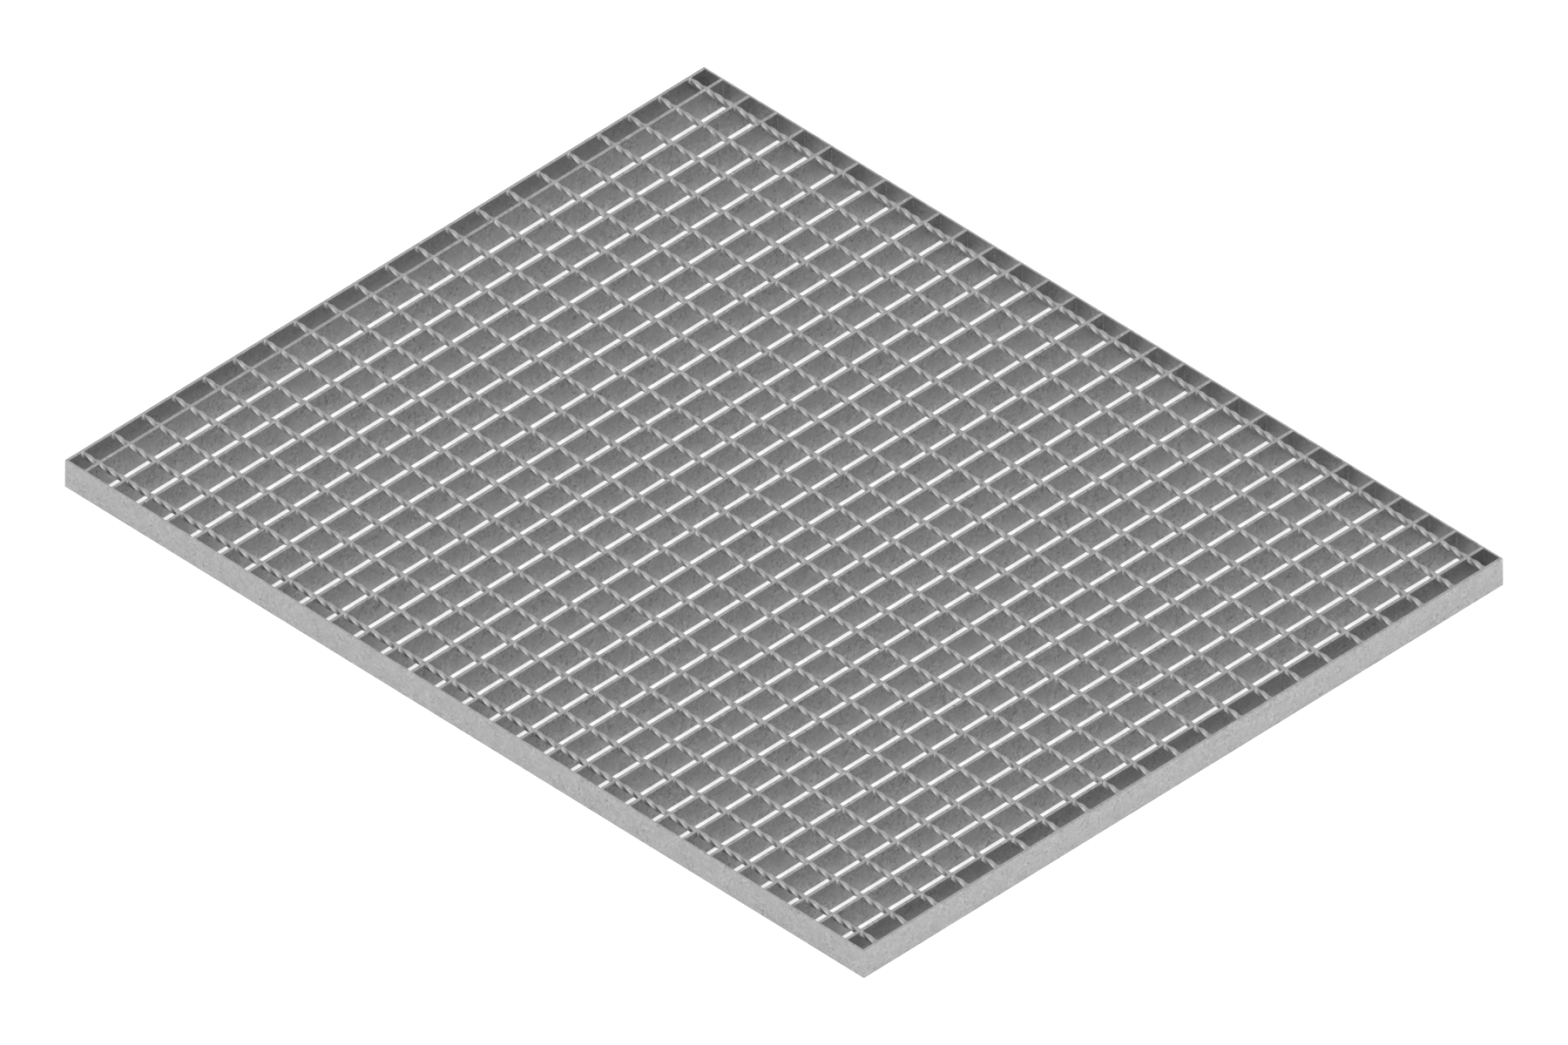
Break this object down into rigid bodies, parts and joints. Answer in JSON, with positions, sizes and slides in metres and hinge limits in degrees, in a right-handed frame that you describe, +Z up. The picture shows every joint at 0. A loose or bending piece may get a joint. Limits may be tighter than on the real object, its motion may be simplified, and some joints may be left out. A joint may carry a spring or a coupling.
{
  "type": "steel grating panel",
  "caption": "Flat forge-welded steel grating panel: deep bearing bars crossed by twisted square rods, closed by side bars and end bands.",
  "frame": {"origin": "centre of the underside, where the panel rests on its supports", "axes": "+X across the bearing bars, along the long side; +Y along the bearing bars; +Z up to the walking surface"},
  "size_m": [1, 0.8, 0.03],
  "materials": {
    "grid_steel": "hot-dip galvanised, dull, with a faint mottled spangle",
    "edge_steel": "hot-dip galvanised, dull, with a faint mottled spangle"
  },
  "bodies": {
    "root": {"grid_left": "grid_steel", "grid_middle": "grid_steel", "grid_right": "grid_steel", "side_bar_left": "edge_steel", "side_bar_right": "edge_steel", "end_band_front": "edge_steel", "end_band_back": "edge_steel"}
  },
  "joints": []
}
